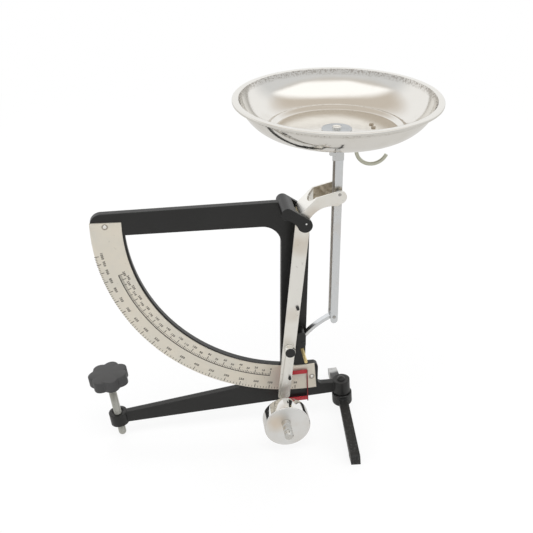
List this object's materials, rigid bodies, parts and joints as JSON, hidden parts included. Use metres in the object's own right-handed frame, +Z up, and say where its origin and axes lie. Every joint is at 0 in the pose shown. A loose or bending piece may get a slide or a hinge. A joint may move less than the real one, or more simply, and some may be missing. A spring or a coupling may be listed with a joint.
{
  "type": "lever balance",
  "caption": "Self-indicating lever balance: a pan on an upright post, a swinging pendulum with an eccentric weight, and a quadrant scale with two ranges.",
  "frame": {"origin": "on the ground, at the middle of the whole outline seen from above", "axes": "+X along the frame from the quadrant to the post, +Y from the dial's face to the back, +Z up"},
  "size_m": [0.2706, 0.15, 0.2845],
  "materials": {
    "enamel": "semi-gloss black enamel on a casting",
    "blackened": "blackened",
    "steel": "plain bright steel",
    "zinc": "dull zinc plate",
    "nickel": "satin nickel plate",
    "polished": "polished plate, brushed on the face",
    "stainless": "polished stainless",
    "disc": "dull",
    "dial": "satin, printed",
    "brass": "satin",
    "red": "gloss red",
    "dark_red": "gloss dark red",
    "knob": "matt black"
  },
  "bodies": {
    "frame": {"frame_casting": "enamel", "main_pivot_pin": "steel", "link_pivot_pin": "steel", "brass_stop_pin": "brass", "scale_plate": "dial", "scale_rivets": "dial", "swivel_bolt": "blackened", "swivel_washer": "steel", "swivel_nut": "steel"},
    "foot": {"cross_foot": "enamel"},
    "screw": {"levelling_screw": "zinc"},
    "knob": {"star_knob": "knob"},
    "lever": {"lever": "nickel", "pivot_sleeve": "brass", "fork_pin": "steel", "range_stud": "nickel", "stud_cap": "blackened", "range_stops": "steel", "pointer_bracket": "red", "pointer_wire": "dark_red"},
    "weight_arm": {"weight_arm": "nickel", "weight_spindle": "steel"},
    "drum": {"counterweight_drum": "polished"},
    "post": {"pan_post": "nickel", "post_head": "nickel", "post_link_pin": "steel", "pan": "stainless", "pan_disc": "disc", "pan_screw": "steel", "pan_nut": "steel", "hook_strap": "steel", "hook_rivets": "steel", "pan_hook": "steel"},
    "link": {"lower_link": "nickel"}
  },
  "joints": [
    {"name": "lever_swing", "type": "hinge", "parent": "frame", "child": "lever", "pos_m": [0.03676, 0, 0.1935], "axis": [0, 1, 0], "range_deg": [-3.3, 84]},
    {"name": "post_upright", "type": "hinge", "parent": "lever", "child": "post", "pos_m": [0.06196, 0, 0.2137], "axis": [0, 1, 0], "range_deg": [-84.5, 3.6]},
    {"name": "link_swing", "type": "hinge", "parent": "frame", "child": "link", "pos_m": [0.03676, 0, 0.0857], "axis": [0, 1, 0], "range_deg": [-3.6, 84.5]},
    {"name": "range_flip", "type": "hinge", "parent": "lever", "child": "weight_arm", "pos_m": [0.02528, 0, 0.0829], "axis": [0, 1, 0], "range_deg": [0, 178]},
    {"name": "zero_trim", "type": "hinge", "parent": "weight_arm", "child": "drum", "pos_m": [0.01932, 0, 0.02893], "axis": [0, 1, 0], "continuous": true},
    {"name": "foot_fold", "type": "hinge", "parent": "frame", "child": "foot", "pos_m": [0.07216, 0.00675, 0.0375], "axis": [-0.0785, 0, 0.9969], "range_deg": [-20, 92.5]},
    {"name": "screw_travel", "type": "slide", "parent": "frame", "child": "screw", "axis": [-0.1253, 0, 0.9921], "range_m": [-0.012, 0.008]},
    {"name": "knob_turn", "type": "hinge", "parent": "screw", "child": "knob", "pos_m": [-0.11374, 0.00675, 0.01772], "axis": [-0.1253, 0, 0.9921], "range_deg": [-4300, 2860]}
  ],
  "couplings": [
    {"joint": "post_upright", "follows": "lever_swing", "ratio": -1},
    {"joint": "link_swing", "follows": "lever_swing", "ratio": 1},
    {"joint": "screw_travel", "follows": "knob_turn", "m_per_rad": 0.00015915}
  ]
}
